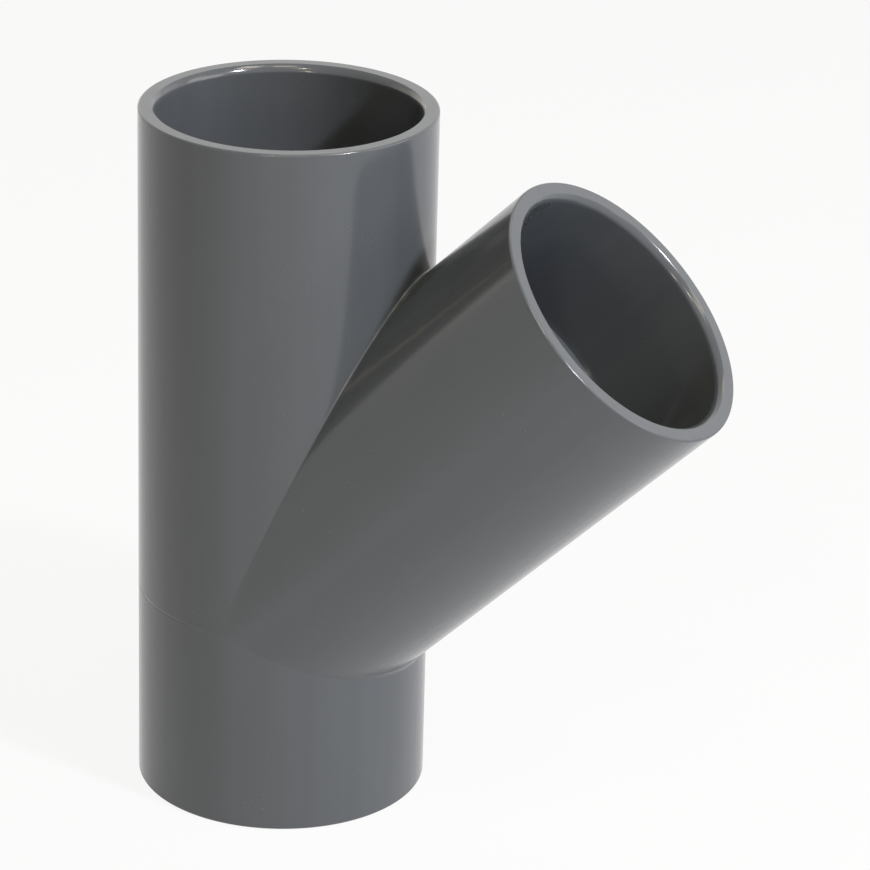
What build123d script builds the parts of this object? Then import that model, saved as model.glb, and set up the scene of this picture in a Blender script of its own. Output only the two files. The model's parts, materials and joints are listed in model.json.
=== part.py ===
from build123d import *
from math import radians, tan
import os

# Equal 45 degree lateral wye for solvent-cemented plastic pressure pipe.
# One injection moulding: a straight run with a branch of the same diameter, and a plain socket in each mouth.
# Frame in millimetres: origin at the centre of the lower mouth, run along +Z, branch leaning towards +X.

# The pipe and the socket that takes it
pipe_diameter = 110.0
socket_clearance = 0.15
socket_depth = 63.6
socket_wall = 7.85

# The body between the sockets
branch_angle = 45.0
stop_step = 4.0
stop_land = 0.8

# The funnel that guides the pipe into each mouth
lead_in_width = 2.0
lead_in_depth = 4.0

# Roundings and bevels of the moulding
rim_radius = 0.9
crotch_radius = 0.8
heel_radius = 4.0
stop_bevel = 0.8

# How far to each side the valley roundings reach, as a share of the rod's radius
valley_reach = 0.99

# Sizes that follow from those above
socket_radius = pipe_diameter / 2 + socket_clearance
outer_radius = socket_radius + socket_wall
passage_radius = socket_radius - stop_step
half_turn = radians(branch_angle / 2)
collar_length = socket_depth + stop_land
axes_height = collar_length + outer_radius * tan(half_turn)
long_arm = collar_length + outer_radius / tan(half_turn)
run_height = axes_height + long_arm

# Where each mouth is, and which way it faces: the plane's Z points out of the mouth
crossing = Location((0, 0, axes_height))
branch_axis = crossing * Rot(0, branch_angle, 0)
mouths = [
    Rot(180, 0, 0),
    Pos(0, 0, run_height),
    branch_axis * Pos(0, 0, long_arm),
]


def crossed_rods(radius):
    """Run and branch as solid rods of one radius, with the valleys where they cross left sharp."""
    upright = (Align.CENTER, Align.CENTER, Align.MIN)
    run = Cylinder(radius, run_height, align=upright)
    branch = branch_axis * Cylinder(radius, long_arm, align=upright)
    return run + branch


def valley_edges(rods, above):
    """The curved edges, above or below the axes' crossing, along which run and branch meet."""
    edges = rods.edges().filter_by(GeomType.ELLIPSE)
    return [edge for edge in edges if (edge.center().Z > axes_height) == above]


def round_valleys(rods, radius):
    """The crossed rods with the upper and the lower valley filled to a rounding."""
    # At the two sides the rods touch without an angle, so each rounding ends just short of there
    slab = crossing * Box(4 * run_height, 2 * radius * valley_reach, 4 * run_height)
    rounded = rods & slab
    rounded = rounded.fillet(crotch_radius, valley_edges(rounded, True))
    rounded = rounded.fillet(heel_radius, valley_edges(rounded, False))
    return rods + rounded


def socket_core(mouth):
    """The space that the pipe's end fills in one mouth, from the open face to the stop."""
    return mouth * Cylinder(socket_radius, socket_depth, align=(Align.CENTER, Align.CENTER, Align.MAX))


def lead_in(mouth):
    """The funnel at one mouth, widest at the open face and down to the socket's own width inside."""
    wide = socket_radius + lead_in_width
    return mouth * Cone(socket_radius, wide, lead_in_depth, align=(Align.CENTER, Align.CENTER, Align.MAX))


def ring_edges(body, mouth, depth, radius):
    """The round edges of one radius that lie at one depth inside a mouth."""
    centre = (mouth * Pos(0, 0, -depth)).position
    rings = body.edges().filter_by(GeomType.CIRCLE)
    return [
        ring
        for ring in rings
        if abs(ring.radius - radius) < 0.01 and (ring.arc_center - centre).length < 0.01
    ]


def wye():
    """The whole moulding."""
    body = round_valleys(crossed_rods(outer_radius), outer_radius)
    body -= crossed_rods(passage_radius)
    for mouth in mouths:
        body -= socket_core(mouth)
        body -= lead_in(mouth)
    for mouth in mouths:
        body = body.fillet(rim_radius, ring_edges(body, mouth, 0, outer_radius))
        body = body.chamfer(stop_bevel, None, ring_edges(body, mouth, socket_depth, passage_radius))
    return body


os.makedirs("parts", exist_ok=True)
export_step(wye(), "parts/wye_body.step")
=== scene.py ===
# Equal 45 degree lateral wye in dark grey plastic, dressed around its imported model.
# Metres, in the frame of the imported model: the run stands along +Z and the branch leans towards +X.
import json
from math import asin, cos, pi, radians, sin, tan

import bmesh
import bpy
from mathutils import Matrix, Vector


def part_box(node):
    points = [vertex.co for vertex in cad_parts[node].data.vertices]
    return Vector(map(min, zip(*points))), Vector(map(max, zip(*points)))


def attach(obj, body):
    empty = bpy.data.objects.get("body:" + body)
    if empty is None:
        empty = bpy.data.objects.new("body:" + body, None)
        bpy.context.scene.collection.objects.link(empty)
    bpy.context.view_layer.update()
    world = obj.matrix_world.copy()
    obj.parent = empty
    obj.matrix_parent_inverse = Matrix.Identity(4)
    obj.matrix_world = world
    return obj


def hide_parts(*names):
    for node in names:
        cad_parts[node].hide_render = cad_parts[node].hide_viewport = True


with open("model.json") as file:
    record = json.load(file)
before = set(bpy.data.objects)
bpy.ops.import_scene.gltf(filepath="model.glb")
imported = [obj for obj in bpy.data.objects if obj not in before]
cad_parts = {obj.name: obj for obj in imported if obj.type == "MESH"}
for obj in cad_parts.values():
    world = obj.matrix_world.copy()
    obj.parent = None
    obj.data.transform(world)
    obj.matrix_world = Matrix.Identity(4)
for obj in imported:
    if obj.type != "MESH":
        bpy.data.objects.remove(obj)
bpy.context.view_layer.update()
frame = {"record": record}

bl_info = {
    "name": "Lateral wye",
    "version": (1, 0, 0),
    "blender": (4, 5, 0),
    "location": "3D View > Sidebar > Wye",
    "description": "Models an equal lateral wye fitting with its plastic finish, table, lamps and camera",
    "category": "Object",
}

MM = 0.001
MOUNTS = {mount["name"]: mount for mount in frame["record"]["mounts"]}

# Places closer than this, in metres, are the same place, and corners of the two tubes this close are welded
SAME_PLACE = 1e-6
WELD_DISTANCE = 2e-6

# Faces along each rounded stretch of the wall's section, and across each rounded seam
RIM_STEPS = 8
LEAD_IN_STEPS = 10
SEAM_STEPS = 8

# Edges that turn by less than this are shaded smooth
SMOOTH_UP_TO = radians(35)

# Grains that each texture of the plastic has along one metre
CLOUD_GRAINS = 16.0
DRAG_GRAINS = 60.0
SCUFF_GRAINS = 90.0
PEEL_GRAINS = 200.0
DUST_GRAINS = 1500.0
DUST_PATCH_GRAINS = 45.0

# Shares of the plastic's colour at its darkest and its lightest
DARKEST = 0.91
LIGHTEST = 1.11

# Refractive index of the plastic, and the height of its orange peel and of its parting line's groove
PLASTIC_IOR = 1.53
RELIEF = 0.2 * MM

# Half the width of the parting line's groove, and of the step in shade that it marks
GROOVE_HALF = 0.5 * MM
SHADE_STEP_HALF = 0.4 * MM

# The parting line is full behind the first X and gone past the second
LINE_FULL = -15 * MM
LINE_GONE = 20 * MM

# Width of the change from the run's texture to the branch's
TEXTURE_SEAM = 4 * MM

# The table lies this far below the fitting, and this share of what is seen of it is plain white
TABLE_DROP = 0.5 * MM
TABLE_LIFT = 0.9

# The point that the lamps face, and how far from it they stand
LAMP_AIM = Vector((0.03, 0, 0.15))
LAMP_DISTANCE = 2.0

# Lamps by name, each: azimuth and elevation in degrees, with azimuth 0 in front and 90 on the branch's side,
# then width and height in metres, power in watts and colour
LAMPS = {
    "key_lamp": (74, 36, 0.16, 0.16, 29.0, (0.95, 0.89, 1.0)),
    "upper_side_lamp": (75, 60, 0.5, 0.5, 6.6, (1.0, 0.91, 0.76)),
    "upper_front_lamp": (30, 60, 0.5, 0.5, 4.4, (1.0, 0.83, 0.57)),
    "upper_back_lamp": (180, 60, 0.5, 0.5, 2.8, (1.0, 0.83, 0.52)),
    "front_lamp": (12, 41, 0.12, 0.12, 3.4, (1.0, 0.90, 0.70)),
    "low_front_lamp": (9, 15, 0.10, 0.24, 2.4, (1.0, 0.80, 0.62)),
    "side_lamp": (98, 18, 0.8, 0.8, 5.8, (0.98, 0.94, 1.0)),
    "back_side_lamp": (118, 22, 0.5, 0.8, 3.2, (1.0, 0.97, 0.84)),
    "back_right_wall": (150, 20, 0.8, 0.6, 0.6, (1.0, 0.99, 0.98)),
    "back_wall": (192, 20, 1.6, 0.7, 1.1, (1.0, 0.98, 0.94)),
    "back_left_wall": (236, 18, 1.5, 0.7, 2.4, (1.0, 0.94, 0.76)),
    "left_wall": (272, 18, 0.8, 0.7, 0.9, (1.0, 0.93, 0.78)),
}


def socket_facts():
    """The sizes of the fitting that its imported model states, in metres."""
    low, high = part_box("wye_body")
    top = MOUNTS["run_upper_socket"]
    side = MOUNTS["branch_socket"]
    wall = top["dims"]["length_mm"] * MM
    middle = high.z - top["pos_m"][2]
    lean = Vector(side["axis"]).angle(Vector((0, 0, 1)))
    crossing = side["pos_m"][2] - side["pos_m"][0] / tan(lean)
    return {
        "outer": high.y,
        "bore": top["dims"]["r_mm"] * MM,
        "height": high.z,
        "crossing": crossing,
        "lean": lean,
        "lead_in": middle - wall / 2,
        "socket": middle + wall / 2,
    }


FACTS = socket_facts()


class WyeSizes(bpy.types.PropertyGroup):
    """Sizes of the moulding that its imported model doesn't state as a mount."""

    segments: bpy.props.IntProperty(
        name="Segments", description="Faces round each tube", default=360, min=48, max=720)
    rim_radius: bpy.props.FloatProperty(
        name="Rim radius", description="Rounding of the outer edge of each mouth",
        default=0.9 * MM, unit="LENGTH")
    lead_in_width: bpy.props.FloatProperty(
        name="Lead-in width", description="How much wider than the socket each mouth opens",
        default=2.0 * MM, unit="LENGTH")
    stop_step: bpy.props.FloatProperty(
        name="Stop step", description="How far the pipe stop stands in from the socket's wall",
        default=4.0 * MM, unit="LENGTH")
    stop_bevel: bpy.props.FloatProperty(
        name="Stop bevel", description="Bevel on the inner edge of the pipe stop",
        default=0.8 * MM, unit="LENGTH")
    crotch_radius: bpy.props.FloatProperty(
        name="Crotch radius", description="Rounding of the upper valley between run and branch",
        default=0.8 * MM, unit="LENGTH")
    heel_radius: bpy.props.FloatProperty(
        name="Heel radius", description="Rounding of the lower valley between run and branch",
        default=4.0 * MM, unit="LENGTH")
    divider_radius: bpy.props.FloatProperty(
        name="Divider radius", description="Rounding of the edges where the two waterways meet",
        default=0.4 * MM, unit="LENGTH")


class WyeFinish(bpy.types.PropertyGroup):
    """Colours and gloss of the moulded plastic, and the table's colour."""

    plastic: bpy.props.FloatVectorProperty(
        name="Plastic", description="Colour of the moulded plastic", subtype="COLOR",
        size=3, default=(0.090, 0.104, 0.112), min=0, max=1)
    roughness: bpy.props.FloatProperty(
        name="Roughness", description="Roughness of the moulded skin", default=0.15, min=0, max=1)
    wear: bpy.props.FloatProperty(
        name="Wear", description="How much rougher handling has left the edges of the mouths",
        default=0.15, min=0, max=1)
    speck: bpy.props.FloatVectorProperty(
        name="Speck", description="Colour of the dust specks on the skin", subtype="COLOR",
        size=3, default=(0.30, 0.31, 0.31), min=0, max=1)
    table: bpy.props.FloatVectorProperty(
        name="Table", description="Colour of the table top", subtype="COLOR",
        size=3, default=(0.90, 0.90, 0.90), min=0, max=1)


class WyeView(bpy.types.PropertyGroup):
    """Where the camera stands, how far the table reaches and how dim the room round it is."""

    azimuth: bpy.props.FloatProperty(
        name="Azimuth", description="Turn of the camera round the run", subtype="ANGLE",
        default=radians(23.596))
    elevation: bpy.props.FloatProperty(
        name="Elevation", description="Height of the camera over the horizon", subtype="ANGLE",
        default=radians(22.921))
    roll: bpy.props.FloatProperty(
        name="Roll", description="Tilt of the camera about its own line of sight", subtype="ANGLE",
        default=radians(1.571))
    distance: bpy.props.FloatProperty(
        name="Distance", description="From the camera to the point it aims at", default=1.8006,
        unit="LENGTH")
    aim: bpy.props.FloatVectorProperty(
        name="Aim", description="The point that the camera aims at", subtype="XYZ", size=3,
        default=(0.05785, 0.02872, 0.15867))
    lens: bpy.props.FloatProperty(
        name="Lens", description="Focal length in millimetres", default=172.93)
    table_front: bpy.props.FloatProperty(
        name="Table front", description="From the run's axis to the table's front edge",
        default=0.98, unit="LENGTH")
    table_reach: bpy.props.FloatProperty(
        name="Table reach", description="From the run's axis to the table's other edges",
        default=1.6, unit="LENGTH")
    room: bpy.props.FloatProperty(
        name="Room", description="Strength of the dim light that the room gives from all round",
        default=0.035)


def deselect():
    """Leaves nothing selected and no object in edit mode."""
    if bpy.context.object and bpy.context.object.mode == "EDIT":
        bpy.ops.object.mode_set(mode="OBJECT")
    bpy.ops.object.select_all(action="DESELECT")


def only(piece):
    """Selects this piece alone and makes it the active one."""
    deselect()
    piece.select_set(True)
    bpy.context.view_layer.objects.active = piece


def pick(piece, mode, test):
    """In edit mode, selects just the vertices, edges or faces that pass the test."""
    bpy.ops.mesh.select_mode(type=mode)
    bpy.ops.mesh.select_all(action="DESELECT")
    mesh = bmesh.from_edit_mesh(piece.data)
    parts = {"VERT": mesh.verts, "EDGE": mesh.edges, "FACE": mesh.faces}[mode]
    for part in parts:
        if test(part):
            part.select_set(True)
    mesh.select_flush_mode()
    bmesh.update_edit_mesh(piece.data)


def middle_of(part):
    """The middle of an edge or a face."""
    return sum((corner.co for corner in part.verts), Vector()) / len(part.verts)


def arc(centre, radius, start, end, steps):
    """Points (radius from the axis, height) on an arc in the wall's section, without its first point."""
    turns = [start + (end - start) * step / steps for step in range(1, steps + 1)]
    return [(centre[0] + radius * cos(turn), centre[1] + radius * sin(turn)) for turn in turns]


def mouth_profile(sizes):
    """From the outer skin round one mouth and down to the waterway, as (radius, depth below the face)."""
    outer, bore = FACTS["outer"], FACTS["bore"]
    rim, width, deep = sizes.rim_radius, sizes.lead_in_width, FACTS["lead_in"]
    stop, bevel = FACTS["socket"], sizes.stop_bevel
    passage = bore - sizes.stop_step
    points = [(r, -z) for r, z in arc((outer - rim, -rim), rim, 0, pi / 2, RIM_STEPS)]
    points += [(bore + width, 0)]
    curve = (width ** 2 + deep ** 2) / (2 * width)
    crease = pi - asin(deep / curve)
    points += [(r, -z) for r, z in arc((bore + curve, -deep), curve, crease, pi, LEAD_IN_STEPS)]
    points += [(bore, stop), (passage + bevel, stop), (passage, stop + bevel)]
    return points


def extrude_ring(radius, height, old_radius, old_height):
    """Carries the selected ring of edges to a new radius and height on the run's axis."""
    bpy.ops.mesh.extrude_edges_move()
    share = radius / old_radius
    bpy.ops.transform.resize(value=(share, share, 1), center_override=(0, 0, 0))
    bpy.ops.transform.translate(value=(0, 0, height - old_height))


def add_tube(name, sizes):
    """The whole straight tube: outer skin, both mouths with their sockets and stops, and the waterway."""
    height, outer = FACTS["height"], FACTS["outer"]
    rim = sizes.rim_radius
    deselect()
    bpy.ops.mesh.primitive_cylinder_add(
        vertices=sizes.segments, radius=outer, depth=height - 2 * rim,
        end_fill_type="NOTHING", location=(0, 0, height / 2))
    tube = bpy.context.object
    tube.name = name
    bpy.ops.object.transform_apply(location=True, rotation=True, scale=True)
    bpy.ops.object.mode_set(mode="EDIT")
    for face_height, inwards in ((height, -1), (0, 1)):
        radius, level = outer, face_height + inwards * rim
        pick(tube, "EDGE", lambda edge: all(abs(v.co.z - level) < SAME_PLACE for v in edge.verts))
        for next_radius, depth in mouth_profile(sizes):
            next_level = face_height + inwards * depth
            extrude_ring(next_radius, next_level, radius, level)
            radius, level = next_radius, next_level
    pick(tube, "EDGE", lambda edge: edge.is_boundary)
    bpy.ops.mesh.bridge_edge_loops()
    bpy.ops.mesh.select_all(action="SELECT")
    bpy.ops.mesh.normals_make_consistent(inside=False)
    bpy.ops.object.mode_set(mode="OBJECT")
    return tube


def wedge_planes():
    """The planes that part run and branch: a point on both, and each one's normal, away from the wedge."""
    half = FACTS["lean"] / 2
    point = Vector((0, 0, FACTS["crossing"]))
    upper = Vector((-cos(half), 0, sin(half)))
    lower = Vector((-sin(half), 0, -cos(half)))
    return point, upper, lower


def in_wedge(place):
    """Whether a place lies between the two planes, where the branch is."""
    point, upper, lower = wedge_planes()
    return (place - point).dot(upper) < 0 and (place - point).dot(lower) < 0


def part_along_planes(tube, keep_wedge):
    """Cuts a tube along both planes, and keeps either what lies between them or the rest."""
    point, upper, lower = wedge_planes()
    only(tube)
    bpy.ops.object.mode_set(mode="EDIT")
    for normal in (upper, lower):
        pick(tube, "FACE", lambda face: keep_wedge or middle_of(face).x > 0)
        bpy.ops.mesh.bisect(plane_co=point, plane_no=normal)
    pick(tube, "FACE", lambda face: in_wedge(middle_of(face)) != keep_wedge)
    bpy.ops.mesh.delete(type="FACE")
    bpy.ops.object.mode_set(mode="OBJECT")


def on_seam(edge):
    """Whether an edge lies along the meeting of run and branch, on one of the two planes."""
    point, upper, lower = wedge_planes()
    offsets = [corner.co - point for corner in edge.verts]
    if any(offset.x < -SAME_PLACE for offset in offsets):
        return False
    return any(
        all(abs(offset.dot(normal)) < SAME_PLACE for offset in offsets) for normal in (upper, lower))


def round_seams(body, sizes):
    """Rounds the meeting of run and branch, outside and inside, by the ball that would roll along it."""
    wanted = {}
    mesh = bmesh.new()
    mesh.from_mesh(body.data)
    for edge in mesh.edges:
        if len(edge.link_faces) != 2 or not on_seam(edge):
            continue
        place = middle_of(edge)
        turn = edge.calc_face_angle(0)
        upper = place.z > FACTS["crossing"]
        if edge.is_convex:
            radius = sizes.divider_radius
        elif upper:
            radius = sizes.crotch_radius
        else:
            radius = sizes.heel_radius
        wanted[edge.index] = radius * tan(turn / 2)
    widest = max(wanted.values())
    layers = mesh.edges.layers.float
    layer = layers.get("bevel_weight_edge") or layers.new("bevel_weight_edge")
    mesh.edges.ensure_lookup_table()
    for index, width in wanted.items():
        mesh.edges[index][layer] = width / widest
    mesh.to_mesh(body.data)
    mesh.free()
    only(body)
    bevel = body.modifiers.new("Seams", "BEVEL")
    bevel.limit_method = "WEIGHT"
    bevel.width = widest
    bevel.segments = SEAM_STEPS
    bevel.profile = 0.5
    bevel.loop_slide = True
    bevel.use_clamp_overlap = False
    bpy.ops.object.modifier_apply(modifier=bevel.name)


def even_normals(body):
    """Smooth shading whose normals follow the broad faces, so the tubes reflect as true cylinders."""
    only(body)
    bpy.ops.object.shade_smooth_by_angle(angle=SMOOTH_UP_TO)
    weighted = body.modifiers.new("Normals", "WEIGHTED_NORMAL")
    weighted.mode = "FACE_AREA"
    weighted.keep_sharp = True
    bpy.ops.object.modifier_apply(modifier=weighted.name)


def node_in(tree, kind, **values):
    """Adds a node and sets the sockets or settings that are named."""
    node = tree.nodes.new(kind)
    for name, value in values.items():
        if name in node.inputs:
            node.inputs[name].default_value = value
        else:
            setattr(node, name, value)
    return node


def noise(tree, place, scale, detail, stretch=(1, 1, 1), roughness=0.5):
    """Smooth noise at a place in metres: scale counts its grains along one metre."""
    grains = node_in(tree, "ShaderNodeTexNoise", Scale=scale, Detail=detail, Roughness=roughness)
    spread = node_in(tree, "ShaderNodeMapping", Scale=stretch)
    tree.links.new(place, spread.inputs["Vector"])
    tree.links.new(spread.outputs["Vector"], grains.inputs["Vector"])
    return grains.outputs["Fac"]


def combined(tree, operation, first, second):
    """The sum, product or other combination of two values."""
    node = node_in(tree, "ShaderNodeMath", operation=operation)
    tree.links.new(first, node.inputs[0])
    tree.links.new(second, node.inputs[1])
    return node.outputs["Value"]


def ranged(tree, value, low, high, to_low, to_high):
    """Carries a value from one range to another, and holds it inside."""
    node = tree.nodes.new("ShaderNodeMapRange")
    for name, number in (("From Min", low), ("From Max", high), ("To Min", to_low), ("To Max", to_high)):
        node.inputs[name].default_value = number
    tree.links.new(value, node.inputs["Value"])
    return node.outputs["Result"]


def on_vectors(tree, operation, first, second):
    """A sum, difference or dot product of a place and a fixed vector."""
    node = node_in(tree, "ShaderNodeVectorMath", operation=operation)
    tree.links.new(first, node.inputs[0])
    node.inputs[1].default_value = second
    return node.outputs["Value" if operation == "DOT_PRODUCT" else "Vector"]


def along_tubes(tree, place):
    """A place turned so that Z runs along the tube it is on, the branch's as well as the run's."""
    point, upper, lower = wedge_planes()
    offset = on_vectors(tree, "SUBTRACT", place, point)
    depths = [on_vectors(tree, "DOT_PRODUCT", offset, normal) for normal in (upper, lower)]
    sides = [ranged(tree, depth, -TEXTURE_SEAM, 0, 1, 0) for depth in depths]
    turned = node_in(tree, "ShaderNodeVectorRotate", rotation_type="Y_AXIS")
    turned.inputs["Angle"].default_value = -FACTS["lean"]
    tree.links.new(offset, turned.inputs["Vector"])
    mixed = node_in(tree, "ShaderNodeMix", data_type="VECTOR")
    factor, run, branch = [
        [socket for socket in mixed.inputs if socket.enabled and socket.name == name][0]
        for name in ("Factor", "A", "B")]
    tree.links.new(combined(tree, "MULTIPLY", *sides), factor)
    tree.links.new(offset, run)
    tree.links.new(turned.outputs["Vector"], branch)
    return [socket for socket in mixed.outputs if socket.enabled][0]


def parting_line_with_painted_shading(tree, place):
    """Where the mould's halves met round the run's back: a mask for the painted light that makes the run
    lighter below the line, and the line's groove, which bumps the skin and is also painted darker as shade.
    """
    axes = tree.nodes.new("ShaderNodeSeparateXYZ")
    tree.links.new(place, axes.inputs["Vector"])
    level = FACTS["crossing"]
    away = ranged(tree, axes.outputs["X"], LINE_FULL, LINE_GONE, 1, 0)
    painted_light_below = ranged(tree, axes.outputs["Z"], level - SHADE_STEP_HALF, level + SHADE_STEP_HALF, 1, 0)
    upper_lip = ranged(tree, axes.outputs["Z"], level, level + GROOVE_HALF, 1, 0)
    lower_lip = ranged(tree, axes.outputs["Z"], level - GROOVE_HALF, level, 0, 1)
    groove_with_painted_shade = combined(tree, "MULTIPLY", upper_lip, lower_lip)
    return combined(tree, "MULTIPLY", painted_light_below, away), combined(tree, "MULTIPLY", groove_with_painted_shade, away)


def plastic_material(finish):
    """Moulded dark grey plastic: glossy, with faint flow marks, orange peel, dulled edges and dust, and
    painted light and shade at the parting line.
    """
    material = bpy.data.materials.new("grey_plastic")
    material.use_nodes = True
    tree = material.node_tree
    link = tree.links.new
    shader = tree.nodes["Principled BSDF"]
    shader.inputs["IOR"].default_value = PLASTIC_IOR
    place = tree.nodes.new("ShaderNodeTexCoord").outputs["Object"]
    along = along_tubes(tree, place)
    painted_light_below, groove_with_painted_shade = parting_line_with_painted_shading(tree, place)

    clouds = noise(tree, along, CLOUD_GRAINS, 4.0, stretch=(1, 1, 0.35), roughness=0.6)
    drag = noise(tree, along, DRAG_GRAINS, 3.0, stretch=(1, 1, 0.04))
    flow = combined(tree, "ADD", ranged(tree, clouds, 0.3, 0.7, 0, 0.4), ranged(tree, drag, 0.3, 0.7, 0, 0.5))
    # Painted light: below the parting line the run's back is coloured lighter, as if its surface caught more
    # light there.
    shade = combined(tree, "ADD", flow, ranged(tree, painted_light_below, 0, 1, 0, 0.2))
    # Painted shade: the parting line's groove is coloured darker, as if shade fell in it; the same groove
    # also bumps the skin below.
    shade = combined(tree, "SUBTRACT", shade, ranged(tree, groove_with_painted_shade, 0, 1, 0, 0.3))
    tint = tree.nodes.new("ShaderNodeValToRGB")
    dark, light = tint.color_ramp.elements
    base = Vector(finish.plastic)
    dark.position, dark.color = 0, (*(base * DARKEST), 1)
    light.position, light.color = 1, (*(base * LIGHTEST), 1)
    link(shade, tint.inputs["Fac"])

    dust = noise(tree, place, DUST_GRAINS, 0.0)
    patches = noise(tree, place, DUST_PATCH_GRAINS, 2.0)
    rare = combined(
        tree, "MULTIPLY", ranged(tree, dust, 0.80, 0.86, 0, 0.45), ranged(tree, patches, 0.50, 0.62, 0, 1))
    dusty = tree.nodes.new("ShaderNodeMixRGB")
    dusty.inputs["Color2"].default_value = (*finish.speck, 1)
    link(rare, dusty.inputs["Fac"])
    link(tint.outputs["Color"], dusty.inputs["Color1"])
    link(dusty.outputs["Color"], shader.inputs["Base Color"])

    edges = tree.nodes.new("ShaderNodeNewGeometry").outputs["Pointiness"]
    scuffs = ranged(tree, noise(tree, place, SCUFF_GRAINS, 3.0), 0.40, 0.62, 0.3, 1)
    worn = combined(tree, "MULTIPLY", ranged(tree, edges, 0.51, 0.56, 0, 1), scuffs)
    gloss = ranged(tree, flow, 0.1, 0.7, finish.roughness * 0.85, finish.roughness * 1.15)
    link(combined(tree, "ADD", gloss, ranged(tree, worn, 0, 1, 0, finish.wear)), shader.inputs["Roughness"])

    peel = node_in(tree, "ShaderNodeBump", Strength=0.06, Distance=RELIEF)
    link(noise(tree, place, PEEL_GRAINS, 0.0), peel.inputs["Height"])
    line = node_in(tree, "ShaderNodeBump", Strength=0.7, Distance=RELIEF, invert=True)
    link(groove_with_painted_shade, line.inputs["Height"])
    link(peel.outputs["Normal"], line.inputs["Normal"])
    link(line.outputs["Normal"], shader.inputs["Normal"])
    return material


class WYE_OT_body(bpy.types.Operator):
    """Models the moulding: run and branch as full tubes with their sockets, parted and joined at the seams"""

    bl_idname = "wye.body"
    bl_label = "Moulding"

    def execute(self, context):
        sizes = context.scene.wye_sizes
        run = add_tube("wye_moulding", sizes)
        branch = add_tube("wye_branch", sizes)
        rise = Matrix.Translation((0, 0, FACTS["crossing"]))
        branch.data.transform(rise @ Matrix.Rotation(FACTS["lean"], 4, "Y") @ rise.inverted())
        part_along_planes(run, keep_wedge=False)
        part_along_planes(branch, keep_wedge=True)
        only(run)
        branch.select_set(True)
        bpy.ops.object.join()
        bpy.ops.object.mode_set(mode="EDIT")
        bpy.ops.mesh.select_all(action="SELECT")
        bpy.ops.mesh.remove_doubles(threshold=WELD_DISTANCE)
        bpy.ops.object.mode_set(mode="OBJECT")
        round_seams(run, sizes)
        even_normals(run)
        run.data.materials.clear()
        run.data.materials.append(plastic_material(context.scene.wye_finish))
        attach(run, "root")
        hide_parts("wye_body")
        return {"FINISHED"}


def seen_white(tree, dull, white):
    """One value for what is seen, also mirrored or through glass, and a dull one for the light it gives."""
    path = tree.nodes.new("ShaderNodeLightPath")
    mirrored = combined(tree, "ADD", path.outputs["Is Glossy Ray"], path.outputs["Is Transmission Ray"])
    return ranged(tree, combined(tree, "ADD", path.outputs["Is Camera Ray"], mirrored), 0, 1, dull, white)


def table_material(colour):
    """The pale table top, which is seen lifted to white, with the object's shadow still on it."""
    material = bpy.data.materials.new("pale_table")
    material.use_nodes = True
    tree = material.node_tree
    shader = tree.nodes["Principled BSDF"]
    shader.inputs["Base Color"].default_value = (*colour, 1)
    shader.inputs["Roughness"].default_value = 0.9
    shader.inputs["Specular IOR Level"].default_value = 0.1
    glow = node_in(tree, "ShaderNodeEmission", Color=(1, 1, 1, 1), Strength=1.0)
    lifted = tree.nodes.new("ShaderNodeMixShader")
    link = tree.links.new
    link(seen_white(tree, 0, TABLE_LIFT), lifted.inputs["Fac"])
    link(shader.outputs["BSDF"], lifted.inputs[1])
    link(glow.outputs["Emission"], lifted.inputs[2])
    link(lifted.outputs["Shader"], tree.nodes["Material Output"].inputs["Surface"])
    return material


def direction(azimuth, elevation):
    """The unit vector towards an azimuth and an elevation, both in radians."""
    return Vector((sin(azimuth) * cos(elevation), -cos(azimuth) * cos(elevation), sin(elevation)))


def add_table(view, finish):
    """The pale table that the fitting stands on, which ends nearer in front than to the other sides."""
    front, reach = view.table_front, view.table_reach
    deselect()
    bpy.ops.mesh.primitive_plane_add(size=1, location=(0, (reach - front) / 2, -TABLE_DROP))
    table = bpy.context.object
    table.name = "table"
    table.scale = (2 * reach, reach + front, 1)
    bpy.ops.object.transform_apply(location=True, rotation=True, scale=True)
    table.data.materials.append(table_material(finish.table))


def add_lamp(name, azimuth, elevation, width, height, power, colour):
    """A soft rectangular lamp that faces the fitting's middle."""
    towards = direction(radians(azimuth), radians(elevation))
    lamp = bpy.data.lights.new(name, "AREA")
    lamp.shape = "RECTANGLE"
    lamp.size, lamp.size_y = width, height
    lamp.energy = power
    lamp.color = colour
    holder = bpy.data.objects.new(name, lamp)
    holder.location = LAMP_AIM + LAMP_DISTANCE * towards
    holder.rotation_euler = (-towards).to_track_quat("-Z", "Y").to_euler()
    bpy.context.scene.collection.objects.link(holder)


def white_world(room):
    """A dim room, which is seen as white."""
    world = bpy.data.worlds.new("studio")
    bpy.context.scene.world = world
    world.use_nodes = True
    tree = world.node_tree
    back = tree.nodes["Background"]
    back.inputs["Color"].default_value = (1, 1, 1, 1)
    tree.links.new(seen_white(tree, room, 1), back.inputs["Strength"])


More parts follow.
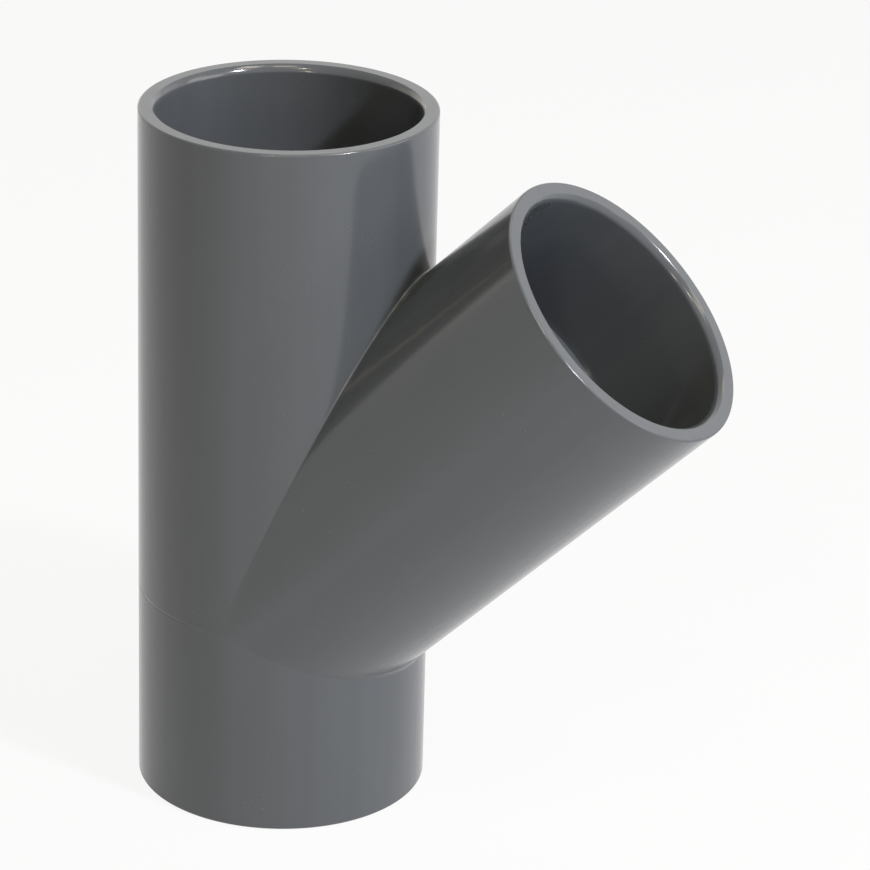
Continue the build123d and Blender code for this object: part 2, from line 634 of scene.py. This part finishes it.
def add_camera(view):
    """The camera that sees the fitting as in the photo: turned, raised, tilted and aimed as the view says."""
    back = direction(view.azimuth, view.elevation)
    right = Vector((cos(view.azimuth), sin(view.azimuth), 0))
    rising = back.cross(right)
    rolled_right = cos(view.roll) * right + sin(view.roll) * rising
    rolled_up = back.cross(rolled_right)
    camera = bpy.data.objects.new("camera", bpy.data.cameras.new("camera"))
    bpy.context.scene.collection.objects.link(camera)
    turn = Matrix((rolled_right, rolled_up, back)).transposed().to_4x4()
    camera.matrix_world = Matrix.Translation(Vector(view.aim) + view.distance * back) @ turn
    camera.data.sensor_width = 36
    camera.data.lens = view.lens
    camera.data.clip_end = 50
    bpy.context.scene.camera = camera


class WYE_OT_stage(bpy.types.Operator):
    """Adds the pale table, the lamps, the room and the camera"""

    bl_idname = "wye.stage"
    bl_label = "Stage"

    def execute(self, context):
        view = context.scene.wye_view
        add_table(view, context.scene.wye_finish)
        white_world(view.room)
        for name, numbers in LAMPS.items():
            add_lamp(name, *numbers)
        add_camera(view)
        context.scene.view_settings.view_transform = "Standard"
        return {"FINISHED"}


class WYE_PT_panel(bpy.types.Panel):
    """Lists the fitting's sizes and finish, and the steps that make it"""

    bl_idname = "WYE_PT_panel"
    bl_label = "Lateral wye"
    bl_space_type = "VIEW_3D"
    bl_region_type = "UI"
    bl_category = "Wye"

    def draw(self, context):
        scene = context.scene
        for group in (scene.wye_sizes, scene.wye_finish, scene.wye_view):
            box = self.layout.box()
            for name in group.__annotations__:
                box.prop(group, name)
        for step in STEPS:
            self.layout.operator(step.bl_idname)


STEPS = (WYE_OT_body, WYE_OT_stage)
GROUPS = {"wye_sizes": WyeSizes, "wye_finish": WyeFinish, "wye_view": WyeView}


def register():
    for group in GROUPS.values():
        bpy.utils.register_class(group)
    for kind in (*STEPS, WYE_PT_panel):
        bpy.utils.register_class(kind)
    for name, group in GROUPS.items():
        setattr(bpy.types.Scene, name, bpy.props.PointerProperty(type=group))


def unregister():
    for name in GROUPS:
        delattr(bpy.types.Scene, name)
    for kind in (*STEPS, WYE_PT_panel, *GROUPS.values()):
        bpy.utils.unregister_class(kind)


def main():
    """Makes the pieces and the stage in order."""
    register()
    bpy.ops.wye.body()
    bpy.ops.wye.stage()


if __name__ == "__main__":
    main()
